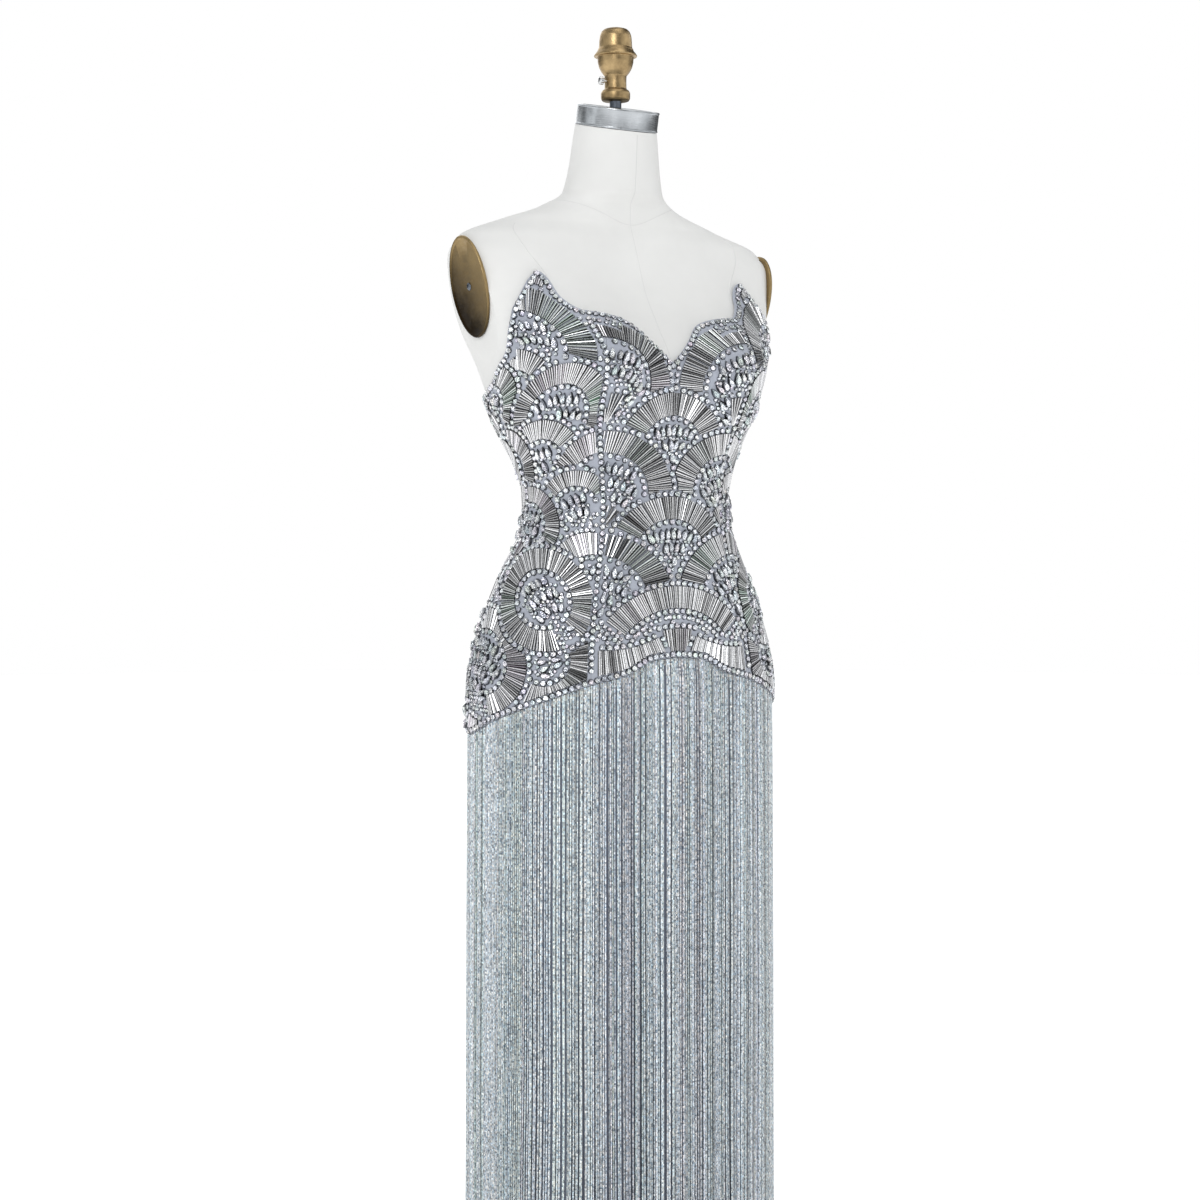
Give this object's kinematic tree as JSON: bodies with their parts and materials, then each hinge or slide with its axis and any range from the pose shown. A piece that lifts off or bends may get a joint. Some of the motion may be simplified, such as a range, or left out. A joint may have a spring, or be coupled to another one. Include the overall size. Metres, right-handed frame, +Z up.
{
  "type": "evening gown on a limbless dress form",
  "caption": "Strapless evening gown with a fan-beaded fitted bodice and a long straight beaded fringe skirt, worn by a limbless canvas dress form on a pole stand.",
  "frame": {"origin": "on the floor at the centre of the stand's base, under the pole", "axes": "+Z up, -Y out of the gown's front, -X towards the wearer's right side"},
  "size_m": [0.3966, 0.37, 1.6217],
  "materials": {
    "beaded_cloth": "fine net closely sewn with silver bugles, round stones and drop stones",
    "skirt_cloth": "plain matt lining-weight crepe",
    "fringe_beads": "strung glass seed beads, silver-grey with a slight sheen",
    "zip_tape": "woven tape with metal teeth",
    "zip_metal": "nickelled metal",
    "canvas": "tight cotton canvas over a hard shell",
    "brushed_steel": "brushed round the cap",
    "dark_brass": "antiqued dark brown, brighter on edges",
    "bright_steel": "bright turned steel",
    "painted_iron": "satin grey enamel"
  },
  "bodies": {
    "form_and_gown": {"bodice_front_centre": "beaded_cloth", "bodice_side_front_left": "beaded_cloth", "bodice_side_front_right": "beaded_cloth", "bodice_side_back_left": "beaded_cloth", "bodice_side_back_right": "beaded_cloth", "bodice_back_left": "beaded_cloth", "bodice_back_right": "beaded_cloth", "skirt_front": "skirt_cloth", "skirt_back": "skirt_cloth", "fringe_front": "fringe_beads", "fringe_back": "fringe_beads", "zip_chain": "zip_tape", "zip_slider": "zip_metal", "form_torso": "canvas", "neck_cap": "brushed_steel", "finial": "dark_brass", "finial_thumb_screw": "bright_steel", "arm_plate_left": "dark_brass", "arm_plate_right": "dark_brass", "arm_screw_left": "bright_steel", "arm_screw_right": "bright_steel", "stand_pole": "painted_iron", "stand_base": "painted_iron"},
    "pull_tab": {"zip_pull_tab": "zip_metal"}
  },
  "joints": [
    {"name": "pull_tab_swing", "type": "hinge", "parent": "form_and_gown", "child": "pull_tab", "pos_m": [0, 0.09638, 1.18069], "axis": [1, 0, 0], "range_deg": [-10, 150]}
  ]
}
